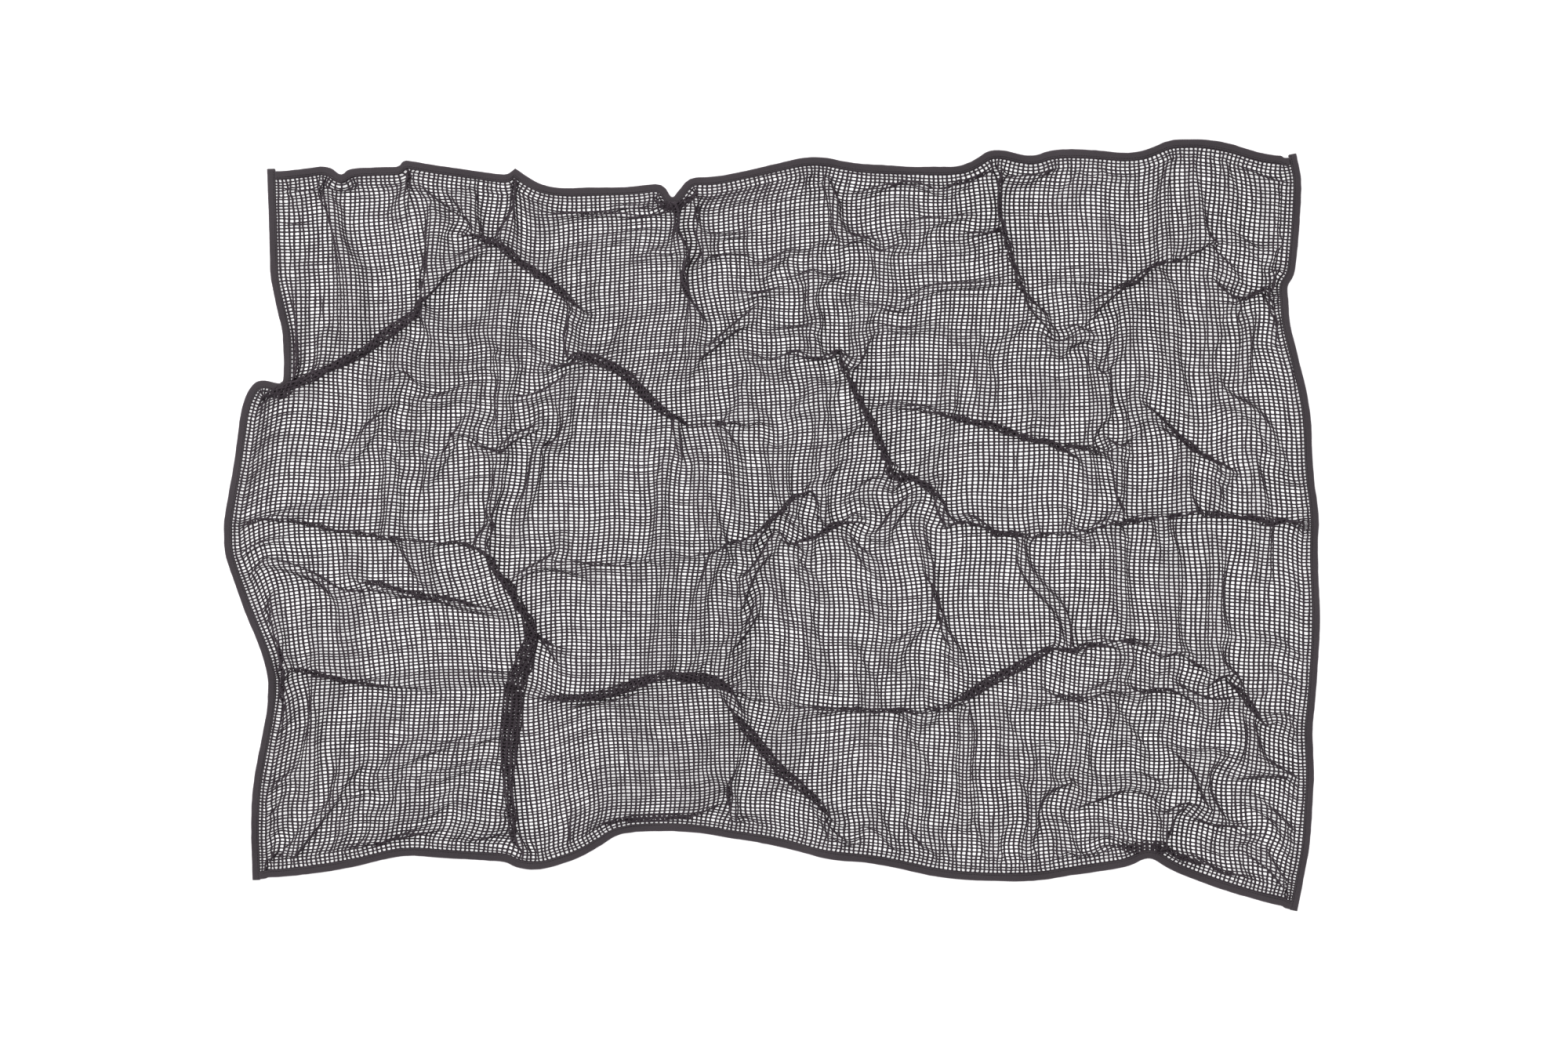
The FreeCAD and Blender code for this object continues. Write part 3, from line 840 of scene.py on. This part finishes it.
# ---- materials --------------------------------------------------------------------------------
def new_material(name):
    """An empty node material with its shader, and its node tree."""
    material = bpy.data.materials.new(name)
    material.use_nodes = True
    tree = material.node_tree
    tree.nodes.clear()
    output = tree.nodes.new("ShaderNodeOutputMaterial")
    shader = tree.nodes.new("ShaderNodeBsdfPrincipled")
    tree.links.new(shader.outputs["BSDF"], output.inputs["Surface"])
    return material, tree, shader


def mottle(tree, scale, detail):
    """Random mottling that stays with the piece."""
    place = tree.nodes.new("ShaderNodeTexCoord")
    noise = tree.nodes.new("ShaderNodeTexNoise")
    noise.inputs["Scale"].default_value = scale
    noise.inputs["Detail"].default_value = detail
    tree.links.new(place.outputs["Object"], noise.inputs["Vector"])
    return noise.outputs["Fac"]


def maths(tree, operation, *values):
    """A sum worked out in the material, from other nodes' outputs and plain numbers."""
    node = tree.nodes.new("ShaderNodeMath")
    node.operation = operation
    for socket, value in zip(node.inputs, values):
        if isinstance(value, bpy.types.NodeSocket):
            tree.links.new(value, socket)
        else:
            socket.default_value = value
    return node.outputs["Value"]


def shade_between(tree, share, dark, light, low, high):
    """A colour that runs from dark to light as the share goes from low to high."""
    ramp = tree.nodes.new("ShaderNodeValToRGB")
    for element, position, colour in zip(ramp.color_ramp.elements, (low, high), (dark, light)):
        element.position = position
        element.color = (*colour, 1.0)
    tree.links.new(share, ramp.inputs["Fac"])
    return ramp.outputs["Color"]


def cloth_material(name, dark, light, sheen, grain, twist):
    """Dyed yarn: a mottled dark colour, a soft sheen and fibres that stand a little proud.

    grain is how fine the fibres are, and twist how many turns the plies make in a metre.
    """
    material, tree, shader = new_material(name)
    links = tree.links
    fibres = mottle(tree, grain, 3.0)
    mix = maths(tree, "MULTIPLY_ADD", mottle(tree, 9.0, 4.0), 0.45, maths(tree, "MULTIPLY", fibres, 0.55))
    links.new(shade_between(tree, mix, dark, light, 0.32, 0.68), shader.inputs["Base Color"])
    shader.inputs["Roughness"].default_value = 0.85
    shader.inputs["Specular IOR Level"].default_value = 0.25
    shader.inputs["Sheen Weight"].default_value = sheen
    shader.inputs["Sheen Roughness"].default_value = 0.45
    shader.inputs["Sheen Tint"].default_value = (0.95, 0.80, 0.92, 1.0)
    height = fibres
    if twist:
        run = tree.nodes.new("ShaderNodeUVMap")
        run.uv_map = "yarn"
        split = tree.nodes.new("ShaderNodeSeparateXYZ")
        links.new(run.outputs["UV"], split.inputs["Vector"])
        turns = maths(tree, "MULTIPLY_ADD", split.outputs["Y"], twist, split.outputs["X"])
        plies = maths(tree, "SINE", maths(tree, "MULTIPLY", turns, 2 * math.pi * PLIES))
        height = maths(tree, "MULTIPLY_ADD", plies, 0.4, fibres)
    bump = tree.nodes.new("ShaderNodeBump")
    bump.inputs["Strength"].default_value = 0.5
    bump.inputs["Distance"].default_value = 0.0003
    links.new(height, bump.inputs["Height"])
    links.new(bump.outputs["Normal"], shader.inputs["Normal"])
    return material


def floor_material():
    """A bright seamless paper that swallows most of the soft shadow."""
    material, tree, shader = new_material("studio_paper")
    paper = shade_between(tree, mottle(tree, 3.0, 2.0), (0.90, 0.90, 0.90), (0.93, 0.93, 0.93), 0.0, 1.0)
    tree.links.new(paper, shader.inputs["Base Color"])
    shader.inputs["Roughness"].default_value = 0.9
    shader.inputs["Specular IOR Level"].default_value = 0.1
    shader.inputs["Emission Color"].default_value = (1.0, 1.0, 1.0, 1.0)
    shader.inputs["Emission Strength"].default_value = 0.60
    return material


# ---- the add-on -------------------------------------------------------------------------------
class NetClothSettings(bpy.types.PropertyGroup):
    """The sizes the cloth is made from."""

    flat_width: bpy.props.FloatProperty(
        name="Flat width", description="Width of the cloth before it was crumpled",
        default=1.580, min=0.5, max=3.0, unit="LENGTH")
    flat_length: bpy.props.FloatProperty(
        name="Flat length", description="Length of the cloth before it was crumpled",
        default=1.110, min=0.5, max=3.0, unit="LENGTH")
    warp_count: bpy.props.IntProperty(
        name="Warp yarns", description="Yarns that run from the back edge to the front one",
        default=242, min=40, max=400)
    weft_count: bpy.props.IntProperty(
        name="Weft yarns", description="Yarns that run from the left edge to the right one",
        default=229, min=40, max=400)
    warp_size: bpy.props.FloatProperty(
        name="Warp yarn width", description="Width of a warp yarn, which lies a little flattened",
        default=0.00285, min=0.0005, max=0.005, precision=4, unit="LENGTH")
    weft_size: bpy.props.FloatProperty(
        name="Weft yarn width", description="Width of a weft yarn",
        default=0.0021, min=0.0005, max=0.005, precision=4, unit="LENGTH")
    tape_width: bpy.props.FloatProperty(
        name="Tape width", description="Width of the edge tape once it is folded over",
        default=0.010, min=0.005, max=0.03, precision=4, unit="LENGTH")
    tape_thickness: bpy.props.FloatProperty(
        name="Tape thickness", description="Thickness of the tape itself",
        default=0.0008, min=0.0003, max=0.003, precision=4, unit="LENGTH")
    tape_gap: bpy.props.FloatProperty(
        name="Tape gap", description="Room between the net and each leg of the tape",
        default=0.0003, min=0.0, max=0.002, precision=4, unit="LENGTH")
    tail_length: bpy.props.FloatProperty(
        name="Tape tail", description="How far the side tapes stand past the back edge",
        default=0.003, min=0.0, max=0.01, precision=4, unit="LENGTH")
    stitch_length: bpy.props.FloatProperty(
        name="Stitch length", description="Length of one stitch of the seam",
        default=0.0032, min=0.001, max=0.01, precision=4, unit="LENGTH")


class NETCLOTH_OT_net(bpy.types.Operator):
    """Weave the net from its warp and weft yarns in its crumpled shape"""

    bl_idname = "net_cloth.make_net"
    bl_label = "Make net"

    def execute(self, context):
        settings = context.scene.net_cloth
        material = cloth_material(
            "net_yarn_polyester", (0.031, 0.0235, 0.0295), (0.072, 0.0565, 0.0685), 0.25, 900.0, 260.0)
        net = join_tubes("net", net_rings(laid_cloth(settings), settings), material)
        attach(net, "root")
        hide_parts("net_panel")
        return {"FINISHED"}


class NETCLOTH_OT_tapes(bpy.types.Operator):
    """Fold a tape over each edge of the net"""

    bl_idname = "net_cloth.make_tapes"
    bl_label = "Make edge tapes"

    def execute(self, context):
        settings = context.scene.net_cloth
        cloth = laid_cloth(settings)
        material = cloth_material(
            "binding_tape_polyester", (0.042, 0.035, 0.040), (0.078, 0.066, 0.074), 0.8, 1400.0, 0.0)
        rng = np.random.default_rng(23)
        section = tape_section(settings)
        for side in LOOP:
            hem = stretch_hem(cloth.hems[side], *tape_ends(settings)[side])
            count = len(hem["rim"])
            wander = resize(rng.normal(size=(count // 12, 1, 2)), count, 2)[:, 0]
            wander += 0.45 * resize(rng.normal(size=(count // 3, 1, 2)), count, 2)[:, 0]
            width = 1.0 + 0.022 * wander[:, :1]
            puff = 1.0 + 0.06 * wander[:, 1:]
            free_edge = settings.tape_width / MM
            insets = (free_edge + (section[None, :, 0] - free_edge) * width - cloth.inset)[..., None]
            heights = (section[None, :, 1] * puff)[..., None]
            rings = hem["rim"][:, None] + hem["into"][:, None] * insets + hem["up"][:, None] * heights
            rings[..., 2] = np.maximum(rings[..., 2], 0.02)
            tape = join_tubes("tape_" + side, [rings[None, :, ::-1] * MM], material)
            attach(tape, "root")
            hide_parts("binding_" + side)
        return {"FINISHED"}


class NETCLOTH_OT_seams(bpy.types.Operator):
    """Sew each tape down with a row of stitches on its two faces"""

    bl_idname = "net_cloth.make_seams"
    bl_label = "Make seams"

    def execute(self, context):
        settings = context.scene.net_cloth
        cloth = laid_cloth(settings)
        material = cloth_material(
            "sewing_thread_polyester", (0.012, 0.011, 0.013), (0.030, 0.027, 0.031), 0.2, 2000.0, 900.0)
        half = tape_half(settings)
        pitch = settings.stitch_length / MM
        for side in LOOP:
            hem = stretch_hem(cloth.hems[side], *tape_ends(settings)[side])
            run = hem["run"]
            count = int((run[-1] - run[0] - 3.0) / pitch)
            starts = run[0] + 1.5 + pitch * np.arange(count)
            reach = np.array((0.0, 0.12, 0.5, 0.88, 1.0)) * (pitch * 0.86)
            dip = np.array((-0.42, 0.05, 0.16, 0.05, -0.42))
            at = starts[:, None] + reach
            up = read_along(at, run, hem["up"])
            seam_depth = settings.tape_width / MM - SEAM_FROM_EDGE - cloth.inset
            seat = read_along(at, run, hem["rim"]) + read_along(at, run, hem["into"]) * seam_depth
            families = []
            for face in (1.0, -1.0):
                line = seat + up * (face * (half - 0.06 + dip))[None, :, None]
                line[..., 2] = np.maximum(line[..., 2], 0.28)
                size = np.broadcast_to(THREAD_SIZE * np.array((0.7, 1.0, 1.0, 1.0, 0.7)), line.shape[:2])
                families.append(rings_round(line * MM, up, size * MM, size * MM, 5))
            seam = join_tubes("seam_" + side, families, material)
            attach(seam, "root")
            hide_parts("needle_thread_" + side, "bobbin_thread_" + side)
        return {"FINISHED"}


class NETCLOTH_OT_stage(bpy.types.Operator):
    """Lay down the pale floor and set the soft lights and the camera straight above"""

    bl_idname = "net_cloth.make_stage"
    bl_label = "Make stage"

    def execute(self, context):
        scene = context.scene
        size = 6.0
        corners = [(-size, -size, 0.0), (size, -size, 0.0), (size, size, 0.0), (-size, size, 0.0)]
        mesh = bpy.data.meshes.new("studio_floor")
        mesh.from_pydata(corners, [], [(0, 1, 2, 3)])
        mesh.materials.append(floor_material())
        floor = bpy.data.objects.new("studio_floor", mesh)
        scene.collection.objects.link(floor)
        world = bpy.data.worlds.new("studio_air")
        world.use_nodes = True
        world.node_tree.nodes["Background"].inputs["Color"].default_value = (1.0, 1.0, 1.0, 1.0)
        world.node_tree.nodes["Background"].inputs["Strength"].default_value = 0.50
        scene.world = world
        for name, place, wide, power in (
            ("soft_box_left", (-1.6, 1.3, 2.3), 1.8, 40.0),
            ("soft_box_right", (1.8, -1.2, 2.5), 2.2, 20.0),
        ):
            light = bpy.data.lights.new(name, "AREA")
            light.shape = "SQUARE"
            light.size = wide
            light.energy = power
            lamp = bpy.data.objects.new(name, light)
            lamp.location = place
            lamp.rotation_euler = (-Vector(place)).to_track_quat("-Z", "Y").to_euler()
            scene.collection.objects.link(lamp)
        width, depth = (BOX_HIGH - BOX_LOW)[:2]
        camera = bpy.data.cameras.new("camera")
        camera.sensor_width = 36.0
        camera.lens = 62.0
        above = VIEW_SHARE * width * camera.lens / camera.sensor_width
        eye = bpy.data.objects.new("camera", camera)
        middle = (BOX_HIGH + BOX_LOW) / 2.0
        eye.location = (middle[0] + 0.011 * width, middle[1] + 0.002 * depth, above)
        eye.rotation_euler = (0.0, 0.0, 0.0)
        scene.collection.objects.link(eye)
        scene.camera = eye
        scene.view_settings.view_transform = "Standard"
        return {"FINISHED"}


class NETCLOTH_PT_panel(bpy.types.Panel):
    """The cloth's sizes and the buttons that make it"""

    bl_idname = "NETCLOTH_PT_panel"
    bl_label = "Net cloth"
    bl_space_type = "VIEW_3D"
    bl_region_type = "UI"
    bl_category = "Net cloth"

    def draw(self, context):
        settings = context.scene.net_cloth
        column = self.layout.column()
        for label in NetClothSettings.__annotations__:
            column.prop(settings, label)
        for operator in OPERATORS:
            column.operator(operator.bl_idname)


OPERATORS = (NETCLOTH_OT_net, NETCLOTH_OT_tapes, NETCLOTH_OT_seams, NETCLOTH_OT_stage)
CLASSES = (NetClothSettings, *OPERATORS, NETCLOTH_PT_panel)


def register():
    """Make the add-on's classes and settings known."""
    for made in CLASSES:
        bpy.utils.register_class(made)
    bpy.types.Scene.net_cloth = bpy.props.PointerProperty(type=NetClothSettings)


def unregister():
    """Take the add-on's settings and classes away again."""
    del bpy.types.Scene.net_cloth
    for made in reversed(CLASSES):
        bpy.utils.unregister_class(made)


def main():
    """Make every piece and the stage."""
    register()
    bpy.ops.net_cloth.make_net()
    bpy.ops.net_cloth.make_tapes()
    bpy.ops.net_cloth.make_seams()
    bpy.ops.net_cloth.make_stage()


if __name__ == "__main__":
    main()
